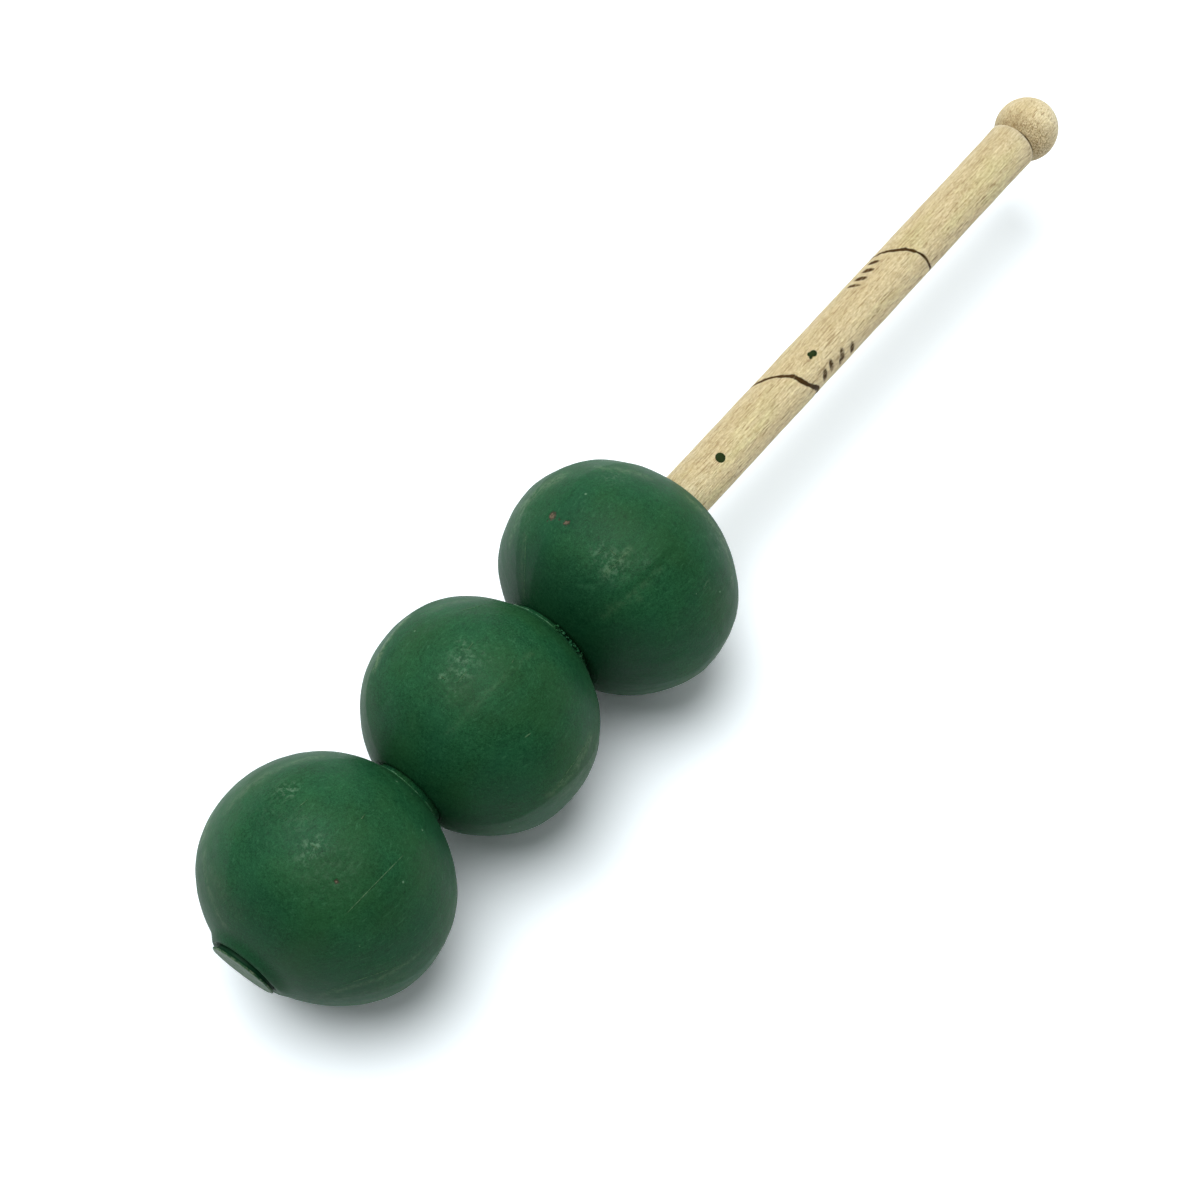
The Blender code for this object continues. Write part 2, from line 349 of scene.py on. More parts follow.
def makeGreenPaint(name, look):
    material, tree, shader, place = newMaterial(name)
    chip, scuffAndHighlight, scrapeAndHighlight, unshaded = readMarks(tree, "paintMarks")
    sockets = {"Place": place, "Patch": look["patch"], "Streak": look["streak"], "Grain": look["grain"]}
    brush = put(tree, "ShaderNodeGroup", sockets, node_tree=brushGroup).outputs
    sockets = dict(zip(("Place", "Cells", "Share", "Size"), (place, *look["specks"])))
    specks = put(tree, "ShaderNodeGroup", sockets, node_tree=speckGroup).outputs["Mask"]
    crumbs = noise(tree, place, look["crumb"], 5.0, 0.72)
    flakes = noise(tree, place, look["flake"], 3.0, 0.65)
    drift, hairs = brush["Drift"], brush["Hairs"]
    # scrapes and scuffs: worn paint, and in places painted highlight where the light catches the pods
    scrapedAndHighlit = times(tree, scrapeAndHighlight, remapped(tree, crumbs, 0.42, 0.58, 0.15, 1.0))
    scuffedAndHighlit = times(tree, scuffAndHighlight, remapped(tree, crumbs, 0.48, 0.63))
    ragged = summed(tree, (chip, 1), (flakes, 0.9))
    chipped = remapped(tree, ragged, 0.90, 1.05, 0.0, 0.85)
    shell = mixed(tree, remapped(tree, ragged, 1.05, 1.35), look["darkShell"], look["bareShell"])
    layers = [
        (remapped(tree, drift, 0.5, 1.0, 0.0, 0.35), look["yellowGreen"]),
        (remapped(tree, drift, 0.5, 0.0, 0.0, 0.35), look["blueGreen"]),
        (remapped(tree, hairs, 0.59, 0.72, 0.0, 0.45), look["paleHair"]),
        (remapped(tree, hairs, 0.41, 0.30, 0.0, 0.50), look["darkHair"]),
        (scrapedAndHighlit, look["scrapedAndHighlit"]),
        (scuffedAndHighlit, look["chalkAndHighlight"]),
        (times(tree, specks, look["speckShow"]), look["chalkAndHighlight"]),
        # painted shade, from the fourth mask
        (maths(tree, "SUBTRACT", 1.0, unshaded), look["paintedShade"]),
        (chipped, shell),
    ]
    colour = mixed(tree, brush["Tone"], look["darkGreen"], look["lightGreen"])
    for mask, over in layers:
        colour = mixed(tree, mask, colour, over)
    height = summed(tree, (brush["Height"], 1), (scuffedAndHighlit, 0.5), (chipped, -1))
    dress(tree, shader, look, colour, brush["Height"], height)
    shader.inputs["IOR"].default_value = look["ior"]
    return material


# tip cap: a thin disc set a little askew, with the pod's paint swollen up round its seat

capForm = {
    "sides": 180,
    "rimRows": 10,
    "faceRows": 16,
    "faceRun": (0.06, 0.97),    # first and last row of the face, by share of its radius
    "rim": (0.75, 1.0),         # where the uneven rim begins and is full, by share of the radius
    "thickness": 0.00050,
    "tiltUp": 5.7,              # degrees that the upper edge stands off the pod
    "tiltSide": 4.0,            # and the +Y edge
    "aside": 0.0002,            # how far it sits towards +Y
    "sink": 0.0003,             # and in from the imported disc's outer face
    "inset": 0.00015,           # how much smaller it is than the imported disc
    "uneven": 0.00028,
    "lumps": [(0.6, 0.004, 61), (0.4, 0.0013, 62)],     # layers of it: share, size, seed
    "dish": 0.00010,            # how far the painted face sinks in the middle
    "lip": 0.00020,
    "neck": 0.0007,             # how far the glue under the disc stays inside its rim
    "gap": 0.00040,             # open crevice behind the disc
    "swell": (0.0089, 0.0016, 0.0012),  # paint swells up round the seat: radius, run-out, most height
    "neckRows": 5,
    "facePits": (0.00005, 0.003, 63),   # depth, size, seed
    "wear": (0.8, 0.0006),      # worn paint along the rim: strength and width
    "streak": (0.39, 0.25),     # pale streaks on the face: middle and swing
    # painted shade on the back of the disc's rim and on the glue under it, in the crevice
    "rimShade": 0.85,
    # where its paint differs from the pods'
    "paint": {"patch": 220.0, "crumb": 1100.0, "scrapedAndHighlit": (0.16, 0.20, 0.125),
              "chalkAndHighlight": (0.22, 0.27, 0.19)},
}


def capPlane():
    # middle of the disc, its radius and its two slopes
    low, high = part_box("tip_cap")
    reach = (high.z - low.z) / 2 - capForm["inset"]
    up, side = math.tan(math.radians(capForm["tiltUp"])), math.tan(math.radians(capForm["tiltSide"]))
    along = low.x + capForm["sink"] + capForm["thickness"] / 2 + reach * math.hypot(up, side)
    middle = np.array([along, (low.y + high.y) / 2 + capForm["aside"], (low.z + high.z) / 2])
    return middle, reach, up, side


def swellToCap(points):
    middle, reach, up, side = capPlane()
    away = points - middle
    back = capForm["thickness"] / 2 + capForm["gap"] - up * away[..., 2] - side * away[..., 1]
    radius, runOut, most = capForm["swell"]
    outside = np.maximum(np.hypot(points[..., 1] - axisY, points[..., 2] - axisZ) - radius, 0)
    share = bell(outside / runOut) * (away[..., 0] < reach)
    moved = points.copy()
    moved[..., 0] += np.clip(back - away[..., 0], -most, 0) * share
    return moved


# pods, as hollow shells

podForm = {
    "sides": 400,
    "arcRows": 240,
    "innerRows": 30,
    "wall": 0.0022,
    "holeRadius": 0.0066,
    "hollow": 0.0140,           # depth between ridges, for each unit of radius
    "crest": 0.00020,           # height that a ridge stands up
    "crestWidth": 0.0035,
    "lump": 0.00016,
    "lumpSize": 0.024,
    "dimple": 0.00003,
    "dimpleSize": 0.0045,
    "wander": (0.06, 0.03),     # how the ridges wander: radians and size
    "belt": (0.30, 0.80),       # ridges and lumps fade towards the holes, by share of the radius
    "tipShadeRun": (0.35, 0.90),    # where the painted shade begins towards the tip end, and where it is full, by share of the half length
    "chipDepth": 0.00015,
    "chipEdge": (0.30, 0.55),   # strength of a chip at which it begins to go in, and is full depth
}

# marks are placed by pixels of the photo's frame
# lean: how much longer the pod is on its +Y side, at the tip end and at the handle end
# shift: how far its widest place lies towards the handle
# pool, painted shade: how dark the paint is made at the tip end of the pod
# ridges: degrees from straight up towards -Y, crest, hollow up to the next ridge
# chips and scuffs, some of them painted highlight: pixel, size, strength; scrapes, some of them painted
# highlight: from pixel to pixel, width, strength
# dents: from pixel to pixel, width, depth
podList = {
    "tip_pod": {
        "radius": 0.0295, "halfLength": 0.0268, "seed": 11,
        "lean": (0.055, 0.03), "shift": -0.0001, "tipShade": 0.32,
        "ridges": [(36, 0.5, 0.8), (92, 0.5, 1.0), (150, 0.5, 1.0), (212, 0.5, 1.0), (272, 0.5, 0.8),
                   (334, 0.3, 0.9)],
        "chips": [(336, 881, 0.0010, 0.66)],
        # the scuffs round (313, 845) are painted highlight where the overhead light catches the pod, over
        # real scuffing
        "scuffsAndHighlights": [(287, 789, 0.0024, 0.70), (313, 845, 0.0026, 0.70), (305, 858, 0.0022, 0.40),
                   (300, 822, 0.0040, 0.14), (330, 862, 0.0070, 0.16), (268, 800, 0.0060, 0.10)],
        "scrapesAndHighlights": [(205, 850, 224, 922, 0.0012, 0.35), (236, 767, 214, 796, 0.0015, 0.60),
                    (214, 796, 204, 836, 0.0014, 0.55), (228, 806, 262, 776, 0.0018, 0.24),
                    (214, 870, 236, 912, 0.0024, 0.14), (317, 997, 350, 989, 0.0007, 0.40),
                    (350, 989, 385, 977, 0.0007, 0.36), (385, 977, 418, 955, 0.0007, 0.30),
                    (262, 776, 318, 756, 0.0014, 0.36), (320, 1000, 400, 978, 0.0020, 0.16)],
        "dents": [(284, 786, 292, 792, 0.0011, 0.00012), (300, 848, 326, 858, 0.0030, 0.00010)],
    },
    "middle_pod": {
        "radius": 0.0285, "halfLength": 0.0258, "seed": 23,
        "lean": (0.0, 0.0), "shift": -0.0004, "tipShade": 0.22,
        "ridges": [(14, 0.4, 0.6), (82, 1.5, 1.2), (138, 0.7, 1.0), (196, 0.7, 1.0), (252, 0.9, 1.2),
                   (308, 1.6, 0.6)],
        "chips": [],
        # the scuffs round (460, 665) are painted highlight where the overhead light catches the pod, over
        # real scuffing
        "scuffsAndHighlights": [(464, 655, 0.0030, 0.50), (460, 672, 0.0024, 0.55), (443, 675, 0.0012, 0.60),
                   (462, 642, 0.0012, 0.55), (484, 655, 0.0040, 0.20), (455, 692, 0.0020, 0.25)],
        # the pale scrapes along the creases from (376, 668) and from (592, 735) are painted highlight along
        # the creases
        "scrapesAndHighlights": [(449, 731, 531, 652, 0.0008, 0.16), (376, 668, 390, 638, 0.0011, 0.75),
                    (390, 638, 408, 617, 0.0011, 0.70), (366, 690, 374, 655, 0.0024, 0.26),
                    (364, 700, 366, 740, 0.0012, 0.24), (436, 606, 470, 598, 0.0012, 0.22),
                    (592, 735, 578, 763, 0.0011, 0.48), (578, 763, 550, 791, 0.0011, 0.44),
                    (596, 748, 566, 790, 0.0026, 0.22)],
        "dents": [(505, 747, 533, 730, 0.0010, 0.00018), (455, 672, 468, 664, 0.0016, 0.00010),
                  (384, 700, 389, 697, 0.0007, 0.00012)],
    },
    "handle_pod": {
        "radius": 0.0295, "halfLength": 0.0252, "seed": 37,
        "lean": (0.0, -0.02), "shift": 0.0, "tipShade": 0.62,
        "ridges": [(24, 0.6, 0.8), (90, 0.4, 1.0), (150, 0.5, 1.0), (212, 0.6, 1.0), (268, 0.5, 0.8),
                   (310, 0.9, 0.3), (331, 0.8, 0.9)],
        "chips": [(552, 516, 0.0015, 0.84), (566, 522, 0.0013, 0.76), (559, 519, 0.0010, 0.52),
                  (553, 505, 0.0012, 0.40), (547, 521, 0.0008, 0.50)],
        # the scuffs round (612, 562) are painted highlight where the overhead light catches the pod, over
        # real scuffing
        "scuffsAndHighlights": [(612, 562, 0.0036, 0.48), (600, 550, 0.0024, 0.42), (640, 560, 0.0026, 0.18),
                   (612, 475, 0.0026, 0.35), (706, 585, 0.0014, 0.45), (716, 540, 0.0040, 0.28),
                   (520, 520, 0.0050, 0.16)],
        "scrapesAndHighlights": [(606, 571, 629, 549, 0.0008, 0.40), (608, 606, 640, 598, 0.0007, 0.14),
                    (526, 534, 524, 600, 0.0007, 0.28), (524, 505, 560, 476, 0.0020, 0.50),
                    (690, 500, 722, 540, 0.0022, 0.52), (722, 540, 732, 580, 0.0014, 0.40),
                    (600, 467, 650, 476, 0.0014, 0.36), (509, 542, 522, 512, 0.0012, 0.36),
                    (604, 616, 660, 568, 0.0008, 0.16)],
        "dents": [(584, 583, 592, 583, 0.0007, 0.00018), (645, 582, 652, 581, 0.0007, 0.00016),
                  (598, 578, 622, 572, 0.0018, 0.00010), (675, 552, 583, 627, 0.0015, 0.00022)],
    },
}


def pixelRay(px, py):
    half = cameraLook["framePixels"] / 2
    x = (px + 0.5 - half) / cameraLook["focalPixels"]
    y = (py + 0.5 - half) / cameraLook["focalPixels"]
    return np.array((eye["ahead"] + eye["right"] * x + eye["down"] * y).normalized())


def pixelOnPod(name, px, py):
    # point of the pod's smooth form under a pixel of the photo
    form, middle = podList[name], np.array(podMiddle[name])
    squeeze = np.array([form["halfLength"], form["radius"], form["radius"]])
    place = np.array(eye["place"])
    start = (place - middle) / squeeze
    ray = pixelRay(px, py) / squeeze
    a, b, c = ray @ ray, ray @ start, start @ start - 1
    return place + pixelRay(px, py) * (-b - math.sqrt(max(b * b - a * c, 0))) / a


def strokeGap(name, points, start, end):
    # distance from each point to the stroke between two places, laid over the round of the pod
    middle, run = np.array(podMiddle[name]), end - start
    share = np.clip((points - start) @ run / (run @ run), 0, 1)
    stroke, away = start + share[..., None] * run - middle, points - middle
    lift = np.linalg.norm(away, axis=-1) / np.linalg.norm(stroke, axis=-1)
    return np.linalg.norm(away - stroke * lift[..., None], axis=-1)


def ridgeForm(angle, ridges):
    # hollow between each two ridges, angle to the nearest ridge, and that ridge's crest
    turn = np.degrees(angle) % 360
    spots = list(ridges) + [(ridges[0][0] + 360, *ridges[0][1:])]
    turn = np.where(turn < spots[0][0], turn + 360, turn)
    hollow, crest = np.zeros_like(turn), np.zeros_like(turn)
    nearest = np.full_like(turn, 360.0)
    for (first, firstCrest, depth), (second, secondCrest, _) in zip(spots, spots[1:]):
        inside = (turn >= first) & (turn <= second)
        share = np.clip((turn - first) / (second - first), 0, 1)
        hollow = np.where(inside, np.sin(share * math.pi) * depth, hollow)
        for spot, height in ((first, firstCrest), (second, secondCrest)):
            away = np.abs(turn - spot)
            crest = np.where(away < nearest, height, crest)
            nearest = np.minimum(away, nearest)
    return hollow, np.radians(nearest), crest


def spotMarks(name, points, spots):
    # soft round marks at pixels of the photo
    marks = [np.zeros(points.shape[:-1])]
    for px, py, size, strength in spots:
        gap = np.linalg.norm(points - pixelOnPod(name, px, py), axis=-1)
        marks.append(strength * bell(gap / size))
    return marks


def strokeMarks(name, points, strokes):
    # soft strokes from pixel to pixel
    marks = [np.zeros(points.shape[:-1])]
    for px, py, endX, endY, width, strength in strokes:
        gap = strokeGap(name, points, pixelOnPod(name, px, py), pixelOnPod(name, endX, endY))
        marks.append(strength * bell(gap / width))
    return marks


def podMasks(name, smooth):
    form = podList[name]
    chip = np.max(spotMarks(name, smooth, form["chips"]), axis=0)
    scuffAndHighlight = np.max(spotMarks(name, smooth, form["scuffsAndHighlights"]), axis=0)
    scrapeAndHighlight = np.max(strokeMarks(name, smooth, form["scrapesAndHighlights"]), axis=0)
    # painted shade towards the tip end of each pod
    behind = (podMiddle[name].x - smooth[..., 0]) / form["halfLength"]
    return chip, scuffAndHighlight, scrapeAndHighlight, 1 - form["tipShade"] * smoothStep(behind, *podForm["tipShadeRun"])


def podRelief(name, smooth, radius, angle, chip):
    # how far the surface stands off the smooth form
    form = podList[name]
    wander, wanderSize = podForm["wander"]
    wander = wander * softNoise(smooth, wanderSize, form["seed"])
    hollow, away, crest = ridgeForm(angle + wander, form["ridges"])
    relief = podForm["crest"] * crest * np.exp(-away * radius / podForm["crestWidth"])
    relief -= podForm["hollow"] * form["radius"] * hollow
    relief += podForm["lump"] * softNoise(smooth, podForm["lumpSize"], form["seed"] + 1)
    relief += podForm["dimple"] * softNoise(smooth, podForm["dimpleSize"], form["seed"] + 2)
    relief *= smoothStep(radius / form["radius"], *podForm["belt"])
    relief -= np.sum(strokeMarks(name, smooth, form["dents"]), axis=0)
    return relief - podForm["chipDepth"] * smoothStep(chip, *podForm["chipEdge"])


def leanPod(name, points):
    # natural pods aren't even: one side is longer, and the widest place lies off the middle
    form, middle = podList[name], np.array(podMiddle[name])
    away = points - middle
    lean = np.where(away[..., 0] < 0, *form["lean"]) * away[..., 1] / form["radius"]
    moved = points.copy()
    moved[..., 0] += away[..., 0] * lean + form["shift"] * (1 - (away[..., 0] / form["halfLength"]) ** 2)
    return moved


def keepInside(points, margin=0.00006):
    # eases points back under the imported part's own reach
    low, high = np.array(cadBox[0]), np.array(cadBox[1])
    room = np.logaddexp(0, (high - points) / margin) * margin
    points = high - room
    points[..., :2] = low[:2] + np.logaddexp(0, (points[..., :2] - low[:2]) / margin) * margin
    points[..., 2] = np.maximum(points[..., 2], 0)
    return points


def makePod(name, material):
    form, middle = podList[name], podMiddle[name]
    low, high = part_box(name)
    tipFace, gripFace = middle.x - low.x, high.x - middle.x
    angle = roundAngles(podForm["sides"])
    first, last = -math.asin(tipFace / form["halfLength"]), math.asin(gripFace / form["halfLength"])
    bend = np.linspace(first, last, podForm["arcRows"])[:, None]
    along = form["halfLength"] * np.sin(bend) + 0 * angle
    radius = form["radius"] * np.cos(bend) + 0 * angle
    smooth = roundStick(middle.x + along, radius, angle, middle.y, middle.z)
    masks = podMasks(name, smooth)
    relief = podRelief(name, smooth, radius, angle, masks[0])
    outer = roundStick(middle.x + along, radius + relief, angle, middle.y, middle.z)
    outer = leanPod(name, outer)
    if name == "tip_pod":
        outer = swellToCap(outer)
    outer = keepInside(outer)

    # mouths and inner wall, round the stick at the holes
    wall = podForm["wall"]
    innerBend = np.linspace(last, first, podForm["innerRows"])[:, None]
    innerAlong = (form["halfLength"] - wall) * np.sin(innerBend)
    innerAlong = np.clip(innerAlong, wall - tipFace, gripFace - wall)
    innerRadius = (form["radius"] - wall) * np.cos(innerBend)
    inner = roundStick(middle.x + innerAlong, innerRadius, angle, middle.y, middle.z)
    mouths = [roundStick(middle.x + x, podForm["holeRadius"], angle, axisY, middle.z)
              for x in (gripFace, gripFace - wall, wall - tipFace, -tipFace)]
    rows = np.concatenate([outer, mouths[0], mouths[1], inner, mouths[2], mouths[3]])
    mesh = gridMesh(name + "Shell", rows, loopRows=True)
    storeMarks(mesh, "paintMarks", masks)
    return addPiece(name + "_shell", mesh, material, "pod_paint", rattleBody, name)


# thin raised threads of dried paint

threadForm = {
    "steps": 40,
    "sides": 8,
    "sink": 0.3,                # share of the radius that lies under the skin
    "knots": (0.25, 40),        # how the thickness swells, and how often
    "lighten": 0.55,
    # pod, from pixel to pixel, radius
    "threads": [
        ("tip_pod", (342, 917), (405, 852), 0.00014),
        ("tip_pod", (317, 997), (414, 962), 0.00012),
        ("tip_pod", (298, 806), (308, 798), 0.00020),
        ("tip_pod", (361, 818), (366, 812), 0.00020),
        ("tip_pod", (284, 820), (287, 816), 0.00016),
        ("tip_pod", (311, 843), (318, 848), 0.00018),
        ("middle_pod", (592, 737), (552, 791), 0.00012),
        ("middle_pod", (460, 609), (490, 602), 0.00012),
        ("middle_pod", (441, 673), (446, 677), 0.00020),
        ("middle_pod", (455, 684), (468, 668), 0.00016),
        ("middle_pod", (526, 736), (533, 731), 0.00016),
        ("handle_pod", (526, 534), (523, 600), 0.00012),
        ("handle_pod", (609, 548), (619, 556), 0.00014),
        ("handle_pod", (606, 571), (629, 549), 0.00012),
        ("handle_pod", (597, 553), (606, 547), 0.00012),
        ("middle_pod", (468, 648), (474, 640), 0.00014),
        ("middle_pod", (512, 662), (516, 655), 0.00012),
    ],
}


def makeThread(number, name, start, end, size, material):
    middle = podMiddle[name]
    share = np.linspace(0, 1, threadForm["steps"])
    spots = np.array([pixelOnPod(name, *(np.array(start) * (1 - t) + np.array(end) * t)) for t in share])
    away = spots - np.array(middle)
    angle = np.arctan2(-away[:, 1], away[:, 2])
    radius = np.hypot(away[:, 1], away[:, 2])
    relief = podRelief(name, spots, radius, angle, np.zeros(len(spots)))
    outward = np.stack([np.zeros(len(spots)), -np.sin(angle), np.cos(angle)], axis=-1)
    spots = leanPod(name, spots + outward * (relief - size * threadForm["sink"])[:, None])
    ahead = np.gradient(spots, axis=0)
    ahead /= np.linalg.norm(ahead, axis=1)[:, None]
    side = np.cross(ahead, outward)
    swell, often = threadForm["knots"]
    thick = size * np.sqrt(np.clip(4 * share * (1 - share), 0.04, 1))
    thick = thick * (1 + swell * np.sin(share * often + number))
    turn = roundAngles(threadForm["sides"])[..., None]
    ring = np.cos(turn) * side[:, None, :] + np.sin(turn) * outward[:, None, :]
    rows = spots[:, None, :] + thick[:, None, None] * ring
    mesh = gridMesh("paintThread", rows, startPole=spots[0], endPole=spots[-1])
    plain = np.zeros(rows.shape[:2])
    storeMarks(mesh, "paintMarks", [plain, plain, plain + threadForm["lighten"]])
    return addPiece(name + "_thread_" + str(number), mesh, material, "pod_paint", rattleBody)


greenPaint = makeGreenPaint("greenPodPaint", greenLook)
for podName in podList:
    makePod(podName, greenPaint)
    print("pod made:", podName)
for number, thread in enumerate(threadForm["threads"], 1):
    makeThread(number, *thread, greenPaint)
print("paint threads made:", len(threadForm["threads"]))


def makeCap(material):
    middle, reach, up, side = capPlane()
    thick, lip = capForm["thickness"], capForm["lip"]
    angle = roundAngles(capForm["sides"])
    swing = np.linspace(0, math.pi, capForm["rimRows"])[:, None]
    share = np.linspace(*capForm["faceRun"], capForm["faceRows"])[:, None]
    front = capForm["dish"] * (1 - share ** 4) - thick / 2
    along = np.concatenate([front, -thick / 2 * np.cos(swing)]) + 0 * angle
    radius = np.concatenate([(reach - lip) * share, reach - lip + lip * np.sin(swing) ** 0.6])
    radius = radius + 0 * angle
    flat = roundStick(along, radius, angle, 0, 0)
    rough = sum(np.abs(lumps(flat, *layer)) for layer in capForm["lumps"])
    rim = smoothStep(radius / reach, *capForm["rim"])
    radius = radius - capForm["uneven"] * rough * rim
    along = along + lumps(flat, *capForm["facePits"]) * (1 - rim)
    disc = roundStick(middle[0] + along, radius, angle, middle[1], middle[2])
    disc[..., 0] -= up * (disc[..., 2] - middle[2]) + side * (disc[..., 1] - middle[1])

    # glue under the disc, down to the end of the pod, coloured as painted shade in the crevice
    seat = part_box("tip_pod")[0].x
    back, waist, neckRows = disc[-1, :, 0], reach - capForm["neck"], capForm["neckRows"]
    neck = roundStick(back, waist, angle[0], middle[1], middle[2])
    foot = roundStick(np.maximum(seat, back), waist, angle[0], middle[1], middle[2])
    down = np.linspace(0, 1, neckRows)[:, None, None]
    rows = np.concatenate([disc, neck * (1 - down) + foot * down])
    mesh = gridMesh("paintedCap", rows, startPole=middle + np.array([capForm["dish"] - thick / 2, 0, 0]),
                    endPole=(seat, middle[1], middle[2]))
    strength, width = capForm["wear"]
    wear = strength * bell((radius - reach + lip) / width) * smoothStep(rough, 0.1, 0.6)
    edge = smoothStep(radius / reach, 0.97, 1.0) * (along > -0.0001)
    level, swing = capForm["streak"]
    streak = np.clip(level + swing * softNoise(flat * (1, 0.3, 1), 0.0009, 64), 0, 1)
    # painted shade on the back of the rim and on the glue, kept in the fourth mask
    onNeck = ((0, neckRows), (0, 0))
    dark = np.pad(edge, onNeck, constant_values=1) * capForm["rimShade"]
    wear, pale = np.pad(wear, onNeck), np.pad(streak * (1 - edge), onNeck)
    storeMarks(mesh, "paintMarks", [0 * wear, 0.35 * wear, np.maximum(0.75 * wear, pale), 1 - dark])
    return addPiece("painted_cap", mesh, material, "cap_paint", rattleBody, "tip_cap")


makeCap(makeGreenPaint("greenCapPaint", dict(greenLook, **capForm["paint"])))
print("cap made")


# beads of glue between the pods, painted over: a skirt on one pod that ends in a thin lip

beadForm = {
    "sides": 300,
    "skirtRows": 10,
    "lipRows": 8,
    "underRows": 8,
    "cover": 0.00006,           # how far the skirt starts under the pod's skin and ends above it
    "overlap": 0.00032,         # reach into the next pod's flat
    "fade": 12,                 # degrees over which the painted highlight on the lip fades
    # where their paint differs from the pods'
    "paint": {"patch": 300.0, "relief": 0.00016, "scrapedAndHighlit": (0.17, 0.30, 0.19)},
    # skirt: radians of the pod's curve; lip: how far it stands out and drops
    # pale: the stretch of the lip painted pale as a highlight where it catches the light, from and to, in
    # degrees
    "tip_joint_bead": {"pod": "tip_pod", "skirt": 0.05, "lip": (0.00024, 0.00012), "fill": 0.0012,
                       "uneven": 0.00007, "pale": (-42, 34), "seed": 71},
    "handle_joint_bead": {"pod": "middle_pod", "skirt": 0.05, "lip": (0.00027, 0.00012), "fill": 0.0012,
                          "uneven": 0.00012, "pale": (-58, 14), "seed": 83},
}


def bendTo(first, handle, last, steps):
    # points of a smooth bend, without the first one
    share = np.linspace(0, 1, steps + 1)[1:, None]
    return (1 - share) ** 2 * first + 2 * share * (1 - share) * handle + share ** 2 * last


def makeBead(name, material):
    look = beadForm[name]
    pod, middle = podList[look["pod"]], np.array(podMiddle[look["pod"]])
    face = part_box(look["pod"])[1].x - middle[0]
    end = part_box(name)[1].x + beadForm["overlap"] - middle[0]
    out, drop = look["lip"]
    last = math.asin(face / pod["halfLength"])
    bend = np.linspace(last - look["skirt"], last, beadForm["skirtRows"])
    cover = np.linspace(-1, 1, beadForm["skirtRows"]) * beadForm["cover"]

    # outline of places along and radii: the skirt, the lip, its underside, and the fill to the next pod
    skirt = np.stack([pod["halfLength"] * np.sin(bend), pod["radius"] * np.cos(bend) + cover], axis=-1)
    edge = skirt[-1] + (out, -drop)
    foot = skirt[-1] + (0.7 * out, -look["fill"])
    lip = bendTo(skirt[-1], skirt[-1] + (0.45 * out, -0.3 * drop), edge, beadForm["lipRows"])
    under = bendTo(edge, edge + (0.5 * out, -0.5 * drop), foot, beadForm["underRows"])
    outline = np.concatenate([skirt, lip, under, [(end, foot[1])]])
    down = np.linspace(1, 0, beadForm["underRows"] + 1)[1:]
    leaning = np.concatenate([np.ones(len(skirt) + len(lip)), down, [0]])[:, None]
    free = np.concatenate([0 * cover, np.linspace(0, 1, beadForm["lipRows"]), down, [0]])[:, None]

    angle = roundAngles(beadForm["sides"])
    along, radius = outline[:, :1] + middle[0] + 0 * angle, outline[:, 1:] + 0 * angle
    ring = roundStick(0 * angle, skirt[-1][1], angle, 0, 0)
    wave = softNoise(ring, 0.006, look["seed"]) + 0.6 * softNoise(ring, 0.0018, look["seed"] + 1)
    ripple = free * look["uneven"] * wave
    rows = roundStick(along + ripple, radius + ripple, angle, middle[1], middle[2])
    rows[..., 0] += leaning * (leanPod(look["pod"], rows) - rows)[..., 0]
    hole = [roundStick(middle[0] + x, podForm["holeRadius"], angle, middle[1], middle[2])
            for x in (end, face)]
    mesh = gridMesh(name + "Ring", np.concatenate([rows, *hole]), loopRows=True)
    # painted highlight along the lit stretch of the lip, with a little random wear in it
    turn = (np.degrees(angle) + 180) % 360 - 180
    (first, final), fade = look["pale"], beadForm["fade"]
    pale = smoothStep(turn, first, first + fade) * (1 - smoothStep(turn, final - fade, final))
    wearAndHighlight = smoothStep(free, 0.4, 0.9) * np.clip(0.8 * pale + 0.2 * wave, 0, 1)
    storeMarks(mesh, "paintMarks", [0 * wearAndHighlight, 0.3 * wearAndHighlight, 0.9 * wearAndHighlight])
    return addPiece(name + "_ring", mesh, material, "joint_glue", rattleBody, name)


# crumbs of hardened glue in one stretch of the handle joint
crumbForm = {"count": 44, "turn": (11, 55), "along": (-0.0001, 0.0009), "radius": (0.0117, 0.0130),
             "size": (0.00008, 0.00032), "stretch": (0.40, 2.1), "pale": (-0.60, 0.20), "lump": (0.45, 1.1),
             "seed": 7}


def makeCrumbs(material):
    form, middle = crumbForm, podMiddle["middle_pod"]
    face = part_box("middle_pod")[1].x
    dice = np.random.default_rng(form["seed"])
    work = bmesh.new()
    wearAndHighlight = []
    for number in range(form["count"]):
        turn = math.radians(dice.uniform(*form["turn"]))
        along, radius = face + dice.uniform(*form["along"]), dice.uniform(*form["radius"])
        spot = roundStick(along, radius, turn, middle.y, middle.z)
        size = dice.uniform(*form["size"]) * dice.uniform(*form["stretch"], 3)
        points = bmesh.ops.create_icosphere(work, subdivisions=2, radius=1)["verts"]
        for point in points:
            lump = 1 + float(lumps(np.array(point.co), *form["lump"], number))
            point.co = Vector(spot + np.array(point.co) * size * lump)
        wearAndHighlight += [max(dice.uniform(*form["pale"]), 0)] * len(points)
    mesh = bpy.data.meshes.new("glueCrumbs")
    work.to_mesh(mesh)
    work.free()
    mesh.shade_smooth()
    wearAndHighlight = np.array(wearAndHighlight)
    storeMarks(mesh, "paintMarks", [0 * wearAndHighlight, 0 * wearAndHighlight, wearAndHighlight])
    return addPiece("joint_crumbs", mesh, material, "joint_glue", rattleBody)


gluePaint = makeGreenPaint("greenGluePaint", dict(greenLook, **beadForm["paint"]))
for beadName in ("tip_joint_bead", "handle_joint_bead"):
    makeBead(beadName, gluePaint)
makeCrumbs(gluePaint)
print("beads and crumbs made")


# stick: turned pale wood with burnt rings and dashes

